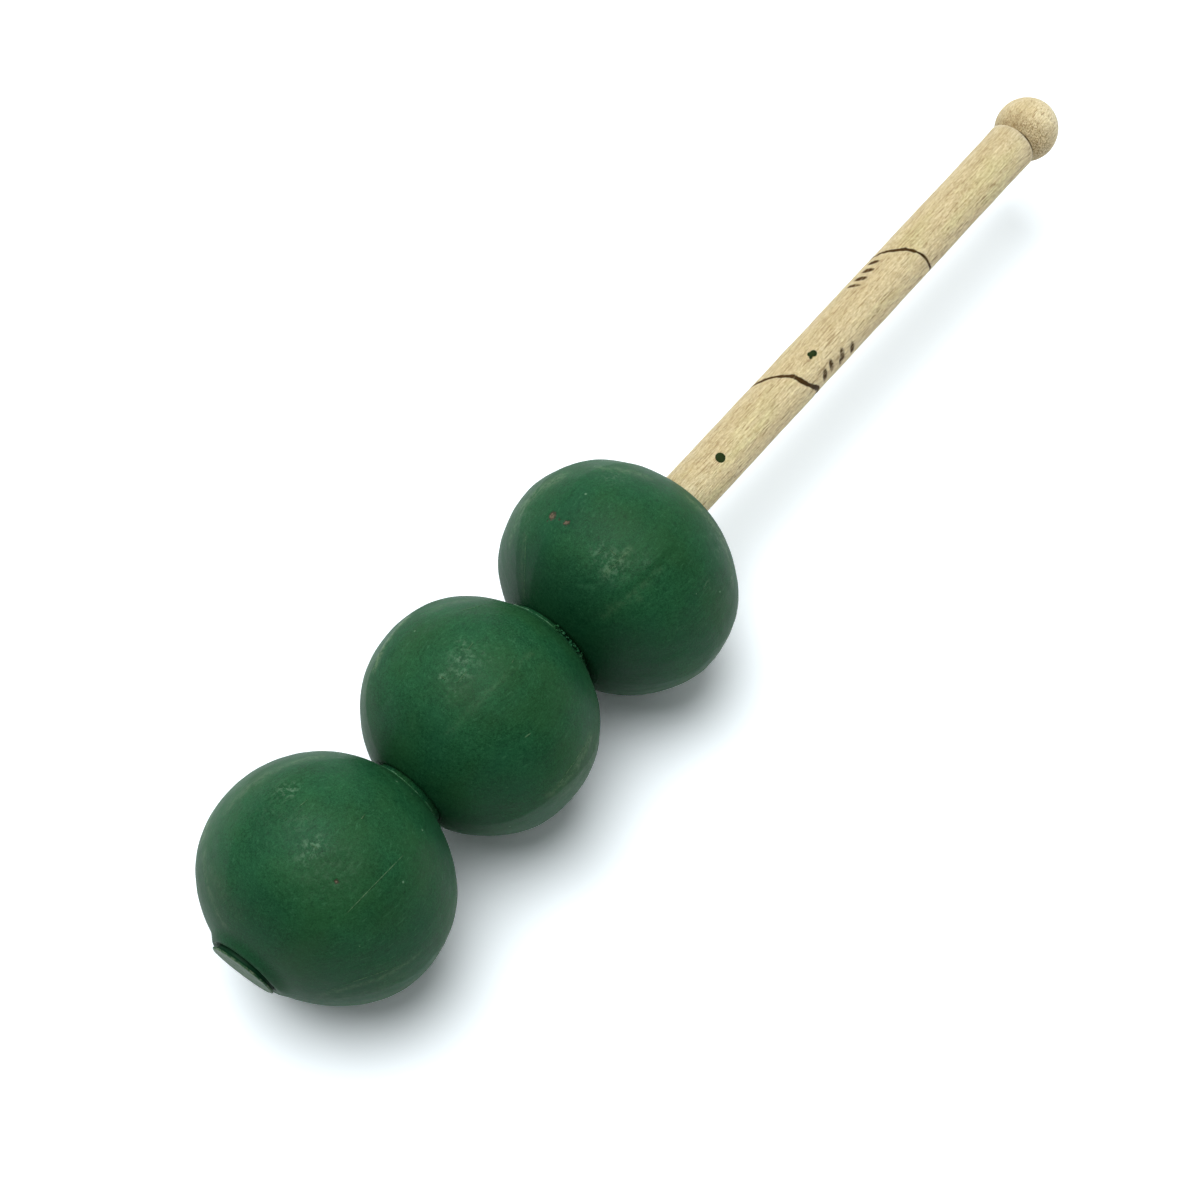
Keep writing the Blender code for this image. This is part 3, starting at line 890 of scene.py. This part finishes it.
stickForm = {
    "pale": (0.8080, 0.7060, 0.4700),
    "tan": (0.4000, 0.3020, 0.1540),
    "fleck": (0.2600, 0.1700, 0.0750),
    "endGrain": (0.2600, 0.1800, 0.0800),
    # burnt brown; the painted shade in the groove uses it too
    "burnAndShade": (0.0620, 0.0310, 0.0060),
    "green": (0.0150, 0.0340, 0.0045),
    "greenWash": (0.86, 1.0, 0.74),     # faint smears of thinned paint
    "litSideShade": (0.80, 0.80, 0.76),    # painted light and shade: darker on the +Y side, which faces the light, and paler on the shaded -Y side
    "shadedSideLight": (1.20, 1.26, 1.31),
    "shadedSide": 75.0,            # degrees from straight up towards -Y of the shaded side that is painted paler
    # layers of grain: scale along and across, detail, roughness, share of the tone
    "grain": {
        "bands": (9.0, 420.0, 4.0, 0.55, 0.03),
        "fibres": (300.0, 2500.0, 3.0, 0.75, 0.42),
        "strands": (60.0, 2600.0, 3.0, 0.70, 0.20),
        "dust": (1200.0, 3000.0, 2.0, 0.70, 0.35),
        "flecks": (280.0, 3000.0, 2.0, 0.50, 0),
        "groups": (60.0, 500.0, 2.0, 0.50, 0),
        "wash": (45.0, 160.0, 2.0, 0.60, 0),
        "smudge": (900.0, 900.0, 3.0, 0.60, 0),
        "specks": (3300.0, 3300.0, 2.0, 0.60, 0),
    },
    "roughness": (0.55, 0.72),
    "bump": 0.45,
    "relief": 0.00010,
    "ior": 1.22,
    # share, depth and tint of the light that soaks into the wood
    "glow": (1.0, 0.0150, (1.0, 0.9, 0.75)),
    "sides": 192,
    "radius": 0.00635,
    "knobRadius": 0.0082,
    "grooveDepth": 0.00075,
    "grooveWidth": 0.00005,
    "endEdge": 0.0004,          # bevel of the tip end
    "edge": 0.0011,             # rounding of the shoulder
    "flare": 0.00025,           # how much the last of the grip swells towards the shoulder
    "flareLength": 0.0060,
    "markStart": 0.009,         # the marked stretch of the grip has finer rows
    "markEnd": 0.097,
    "fineStep": 0.0003,
    "coarseStep": 0.0015,
    "knobRows": 60,
    "burnDepth": 0.00010,
    "splitDepth": 0.00015,
    "spotHeight": 0.00002,
    # unevenness: how much, size of its lumps, seed
    "turned": (0.00004, 0.012, 7),      # left by the lathe
    "torn": (0.00006, 0.0012, 9),       # in the rough end grain
    "wobble": (0.00010, 0.004, 5),      # in the rings' places
    "ragged": (0.22, 0.0012, 6),        # in the rings' widths
    # burnt rings: place along the grip, lean up, lean towards -Y, width on the +Y and on the -Y side,
    # and a dip towards the pods with its degrees from straight up
    "rings": [(0.0407, 0.0010, 0.0063, 0.00060, 0.00074, 0.0020, 48),
              (0.0882, 0.0010, 0.0052, 0.00060, 0.00033, 0.0009, 66)],
    "dipWidth": 35,             # degrees
    # burnt dashes: place along the grip, degrees from straight up towards -Y, slant, length, width,
    # strength
    "dashes": [(0.0821, -36.8, 54, 0.0033, 0.00135, 0.8), (0.0791, -32.7, 54, 0.0034, 0.00150, 0.8),
               (0.0760, -31.4, 56, 0.0034, 0.00150, 0.8), (0.0733, -32.6, 62, 0.0037, 0.00135, 0.7),
               (0.0499, 70.5, -74, 0.0039, 0.00175, 0.7), (0.0527, 62.6, -74, 0.0039, 0.00165, 0.6),
               (0.0558, 76.3, -74, 0.0027, 0.00135, 0.6), (0.0570, 64.5, -74, 0.0039, 0.00170, 0.7),
               (0.0607, 73.5, -74, 0.0034, 0.00170, 0.7)],
    # the same dashes again on the far side: those past the first place are turned by the second value,
    # the rest by the third
    "dashRepeat": (0.066, 213, 180),
    # spots of green paint: place along, degrees, size, strength
    "spots": [(0.0137, 17.7, 0.00130, 1.0), (0.0509, 11.5, 0.00090, 0.95),
              (0.0500, 8.0, 0.00075, 0.85), (0.0495, 13.5, 0.00045, 0.75),
              (0.0272, -15.4, 0.0013, 0.20), (0.0464, -26.8, 0.0015, 0.18)],
    # a split along the grain by the shoulder: from and to along the grip, degrees, width
    "split": (0.1245, 0.1355, 84, 0.00022),
    "grooveShade": (0.00034, 0.95),      # painted shade in the groove, mostly on its -Y side: width and strength
    # rough end grain on the knob: reach past the shoulder, its swing round the stick, run-out
    "roughEnd": (0.0014, 0.0028, 0.0040),
}


def makeStickWood(look):
    material, tree, shader, place = newMaterial("paleTurnedWood")
    burnAndShade, green, rough, _ = readMarks(tree, "stickMarks")
    grain, shares = {}, []
    for name, (along, across, detail, fineness, share) in look["grain"].items():
        grain[name] = noise(tree, stretched(tree, place, (along, across, across)), 1.0, detail, fineness)
        if share:
            shares.append((grain[name], share))
    fibres = grain["fibres"]
    colour = mixed(tree, remapped(tree, summed(tree, *shares), 0.36, 0.63), look["tan"], look["pale"])
    # painted light and shade round the stick, evening out its lit and shaded sides
    turn = math.radians(look["shadedSide"])
    fromAxis = put(tree, "ShaderNodeVectorMath", {0: place, 1: (0, axisY, axisZ)}, operation="SUBTRACT")
    side = facing(tree, fromAxis.outputs[0], (0, -math.sin(turn), math.cos(turn)))
    sideShading = mixed(tree, remapped(tree, side, 0.0005, 0.0066), look["litSideShade"], look["shadedSideLight"])
    colour = mixed(tree, 1.0, colour, sideShading, "MULTIPLY")
    washed = remapped(tree, grain["wash"], 0.52, 0.72, 0.0, 0.30)
    colour = mixed(tree, washed, colour, look["greenWash"], "MULTIPLY")
    flecked = summed(tree, (grain["flecks"], 1), (grain["groups"], 0.20))
    flecked = remapped(tree, flecked, 0.70, 0.76, 0.0, 0.65)
    pores = times(tree, rough, remapped(tree, grain["specks"], 0.48, 0.62, 0.04, 0.95))
    stained = remapped(tree, summed(tree, (green, 1), (grain["smudge"], 0.30)), 0.50, 0.72)
    # burnt rings and dashes, and the painted shade in the groove
    burntAndShaded = times(tree, burnAndShade, remapped(tree, fibres, 0.36, 0.64, 0.60, 1.50))
    burntAndShaded = remapped(tree, burntAndShaded, 0.26, 0.66)
    for mask, over in ((flecked, "fleck"), (pores, "endGrain"), (stained, "green"), (burntAndShaded, "burnAndShade")):
        colour = mixed(tree, mask, colour, look[over])
    height = summed(tree, (fibres, 1), (flecked, -0.6), (burntAndShaded, -0.5), (pores, -1))
    dress(tree, shader, look, colour, fibres, height)
    soak, depth, soakTint = look["glow"]
    shader.inputs["IOR"].default_value = look["ior"]
    shader.inputs["Subsurface Weight"].default_value = soak
    shader.inputs["Subsurface Radius"].default_value = soakTint
    shader.inputs["Subsurface Scale"].default_value = depth
    return material


def wrapGap(angle, degrees):
    return (angle - math.radians(degrees) + math.pi) % (2 * math.pi) - math.pi


def stickProfile(form):
    # along and radius, from the tip end to the last row of the knob
    radius, knob = form["radius"], form["knobRadius"]
    knobMiddle = stickHigh.x - knob
    groove = radius - form["grooveDepth"]
    shoulder = knobMiddle - math.sqrt(knob ** 2 - groove ** 2) - form["grooveWidth"]
    edge, endEdge = form["edge"], form["endEdge"]
    plain = [stickLow.x + endEdge]
    while plain[-1] < shoulder - edge - form["coarseStep"]:
        inMarks = form["markStart"] <= plain[-1] - gripStart < form["markEnd"]
        plain.append(plain[-1] + (form["fineStep"] if inMarks else form["coarseStep"]))
    corner = np.linspace(0, math.acos((groove - radius + edge) / edge), 10)
    along = [[stickLow.x], plain, shoulder - edge + edge * np.sin(corner)]
    profile = [[radius - endEdge], [radius] * len(plain), radius - edge + edge * np.cos(corner)]
    swing = np.linspace(-math.acos(groove / knob), math.pi / 2, form["knobRows"])[:-1]
    along.append(knobMiddle + knob * np.sin(swing))
    profile.append(knob * np.cos(swing))
    along, profile = np.concatenate(along), np.concatenate(profile)
    swell = np.exp(-np.maximum(shoulder - along, 0) / form["flareLength"]) * (along <= shoulder)
    return along, profile + form["flare"] * swell, shoulder


def makeStick(material):
    form = stickForm
    along, profile, shoulder = stickProfile(form)
    angle = roundAngles(form["sides"])
    up, side = np.cos(angle), np.sin(angle)
    along, profile = along[:, None] + 0 * angle, profile[:, None] + 0 * angle
    smooth = roundStick(along, profile, angle, axisY, axisZ)
    grip = along - gripStart

    burnAndShade, green = np.zeros_like(along), np.zeros_like(along)
    wobble = lumps(smooth, *form["wobble"])
    uneven = 1 + lumps(smooth, *form["ragged"])
    for place, leanUp, leanSide, upper, lower, dip, degrees in form["rings"]:
        width = (upper + (lower - upper) * smoothStep(side, -0.1, 0.95)) * uneven
        dip = dip * bell(wrapGap(angle, degrees) / math.radians(form["dipWidth"]))
        gap = grip - place - leanUp * up - leanSide * side + dip + wobble
        burnAndShade = np.maximum(burnAndShade, bell((gap / width) ** 2))
    dashes = list(form["dashes"])
    past, pastTurn, turn = form["dashRepeat"]
    for place, degrees, *rest in form["dashes"]:
        dashes.append((place, degrees + (pastTurn if place > past else turn), *rest))
    for place, degrees, slant, length, width, strength in dashes:
        lean = math.radians(slant)
        across = wrapGap(angle, degrees) * form["radius"]
        forward = (grip - place) * math.cos(lean) + across * math.sin(lean)
        sideways = across * math.cos(lean) - (grip - place) * math.sin(lean)
        dash = (2 * forward / length) ** 2 + (2 * sideways / width) ** 2
        burnAndShade = np.maximum(burnAndShade, strength * np.exp(-dash ** 2 * 0.7))
    for place, degrees, size, strength in form["spots"]:
        gap = np.hypot(grip - place, wrapGap(angle, degrees) * form["radius"])
        green = np.maximum(green, strength * (1 - smoothStep(gap, 0.80 * size, 1.15 * size)))

    start, end, degrees, width = form["split"]
    split = bell(wrapGap(angle, degrees) * form["radius"] / width)
    split = split * smoothStep(grip, start, start + 0.003) * (1 - smoothStep(grip, end, end + 0.001))
    # painted shade along the groove by the shoulder, mostly on the -Y side
    width, strength = form["grooveShade"]
    grooveShadow = bell((along - shoulder) / width) * smoothStep(side, -0.35, 0.5)
    burnAndShade = np.maximum(burnAndShade, np.maximum(0.6 * split, strength * grooveShadow))
    reach, swing, runOut = form["roughEnd"]
    roughEnd = shoulder + reach + swing * side
    rough = smoothStep(along, shoulder - 0.0002, shoulder)
    rough = rough * (1 - smoothStep(along, roughEnd, roughEnd + runOut))

    relief = lumps(smooth, *form["turned"])
    relief -= form["burnDepth"] * smoothStep(burnAndShade - grooveShadow, 0.3, 0.8)
    relief += form["spotHeight"] * smoothStep(green, 0.5, 0.9)
    relief -= rough * np.abs(lumps(smooth, *form["torn"]))
    relief -= form["splitDepth"] * split
    rows = roundStick(along, profile + relief, angle, axisY, axisZ)
    mesh = gridMesh("turnedStick", rows, startPole=(stickLow.x, axisY, axisZ),
                    endPole=(stickHigh.x, axisY, axisZ))
    storeMarks(mesh, "stickMarks", [burnAndShade, green, rough])
    return addPiece("turned_stick", mesh, material, "stick_wood", rattleBody, "handle_stick")


makeStick(makeStickWood(stickForm))
print("stick made")


# loose seeds in the pods: small beans with a dent where they grew on

seedForm = {
    "dark": (0.0500, 0.0240, 0.0110),
    "light": (0.1500, 0.0800, 0.0350),
    "scar": (0.3000, 0.2200, 0.1300),
    "mottle": 700.0,
    "pits": 2600.0,
    "roughness": (0.38, 0.58),
    "bump": 0.4,
    "relief": 0.0001,
    "rows": 18,
    "sides": 28,
    "shrink": 0.985,
    "scarPlace": (0.0, 1.0, 0.0),       # on a ball of radius 1, as are the next four
    "scarStretch": (0.55, 1, 1),
    "scarDepth": 0.16,
    "scarWidth": 0.34,
    "wrinkle": (0.03, 0.9),     # depth and size
    "scarEdge": (0.55, 0.8),    # where the scar's colour begins and is full
}


def makeSeedCoat(look):
    material, tree, shader, place = newMaterial("drySeedCoat")
    scar = readMarks(tree, "seedMarks")[0]
    mottle = noise(tree, place, look["mottle"], 4.0, 0.6)
    pits = noise(tree, place, look["pits"], 2.0, 0.5)
    colour = mixed(tree, remapped(tree, mottle, 0.35, 0.65), look["dark"], look["light"])
    colour = mixed(tree, scar, colour, look["scar"])
    dress(tree, shader, look, colour, pits, pits)
    return material


def makeSeed(node, number, material):
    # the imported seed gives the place, the lie and the half sizes
    mesh = frame["nodes"][node].data
    points = np.zeros(len(mesh.vertices) * 3)
    mesh.vertices.foreach_get("co", points)
    points = points.reshape(-1, 3)
    middle = (points.min(axis=0) + points.max(axis=0)) / 2
    axes = np.linalg.svd(points - middle, full_matrices=False)[2]
    halves = np.abs((points - middle) @ axes.T).max(axis=0) * seedForm["shrink"]
    swing = np.linspace(-math.pi / 2, math.pi / 2, seedForm["rows"] + 2)[1:-1, None]
    turn = roundAngles(seedForm["sides"])
    ball = [np.sin(swing) + 0 * turn, np.cos(swing) * np.cos(turn), np.cos(swing) * np.sin(turn)]
    ball = np.stack(ball, axis=-1)
    scarGap = (ball - seedForm["scarPlace"]) * seedForm["scarStretch"]
    scar = bell(np.linalg.norm(scarGap, axis=-1) / seedForm["scarWidth"])
    wrinkles = np.abs(lumps(ball, *seedForm["wrinkle"], 100 + number))
    shape = 1 - seedForm["scarDepth"] * scar - wrinkles
    rows = middle + (ball * shape[..., None] * halves) @ axes
    poles = [middle + np.array([end, 0, 0]) * halves * 0.97 @ axes for end in (-1, 1)]
    mesh = gridMesh(node + "Bean", rows, startPole=poles[0], endPole=poles[1])
    storeMarks(mesh, "seedMarks", [smoothStep(scar, *seedForm["scarEdge"])])
    return addPiece(node + "_bean", mesh, material, "seed_coat", node, node)


seedCoat = makeSeedCoat(seedForm)
seedNodes = sorted(node for node in frame["nodes"] if "_seed_" in node)
for number, node in enumerate(seedNodes):
    makeSeed(node, number, seedCoat)
print("seeds made:", len(seedNodes))


# floor and light

floorLook = {
    "size": 60.0,
    "colour": (0.62, 0.62, 0.62),
    "grain": 40.0,
    "lighter": 1.02,            # how much the grain lightens it
    "seenColour": (1.17, 1.25, 1.30),   # as the camera sees it, so that the lit floor comes out white
}


def makeFloor(look):
    half = look["size"] / 2
    mesh = bpy.data.meshes.new("paleFloor")
    corners = [(-half, -half, 0), (half, -half, 0), (half, half, 0), (-half, half, 0)]
    mesh.from_pydata(corners, [], [(0, 1, 2, 3)])
    floor = bpy.data.objects.new("paleFloor", mesh)
    bpy.context.scene.collection.objects.link(floor)
    material, tree, shader, place = newMaterial("paleFloor")
    grain = noise(tree, place, look["grain"])
    lighter = tuple(c * look["lighter"] for c in look["colour"])
    plain = mixed(tree, grain, look["colour"], lighter)
    path = put(tree, "ShaderNodeLightPath")
    seen = maths(tree, "MAXIMUM", path.outputs["Is Camera Ray"], path.outputs["Is Glossy Ray"])
    seen = maths(tree, "MAXIMUM", seen, path.outputs["Is Transmission Ray"])
    diffuse = put(tree, "ShaderNodeBsdfDiffuse", {"Color": mixed(tree, seen, plain, look["seenColour"])})
    tree.links.new(diffuse.outputs[0], tree.nodes["Material Output"].inputs["Surface"])
    tree.nodes.remove(shader)
    mesh.materials.append(material)


lightLook = {
    "keyFrom": (0.02, 0.23, 0.97),
    "keySpread": 52.0,
    "keyStrength": 2.72,
    "roomBright": (0.70, 0.65, 0.40),   # the side of the room that the window light comes from
    "roomRun": (-0.7, 1.0),     # cosine to that side at which the room is darkest, and brightest
    "roomLow": 0.03,
    "roomHigh": 0.70,
}


def makeLight(look):
    data = bpy.data.lights.new("keyLamp", "SUN")
    data.energy = look["keyStrength"]
    data.angle = math.radians(look["keySpread"])
    lamp = bpy.data.objects.new("keyLamp", data)
    lamp.location = look["keyFrom"]
    lamp.rotation_euler = Vector(look["keyFrom"]).to_track_quat("Z", "Y").to_euler()
    bpy.context.scene.collection.objects.link(lamp)
    world = bpy.data.worlds.new("studio")
    bpy.context.scene.world = world
    world.use_nodes = True
    tree = world.node_tree
    way = put(tree, "ShaderNodeTexCoord").outputs["Generated"]
    side = facing(tree, way, Vector(look["roomBright"]).normalized())
    strength = remapped(tree, side, *look["roomRun"], look["roomLow"], look["roomHigh"])
    tree.links.new(strength, tree.nodes["Background"].inputs["Strength"])
    tree.nodes["Background"].inputs["Color"].default_value = (1, 1, 1, 1)


makeFloor(floorLook)
makeLight(lightLook)
bpy.context.scene.view_settings.view_transform = "Standard"
print("floor and light ready")
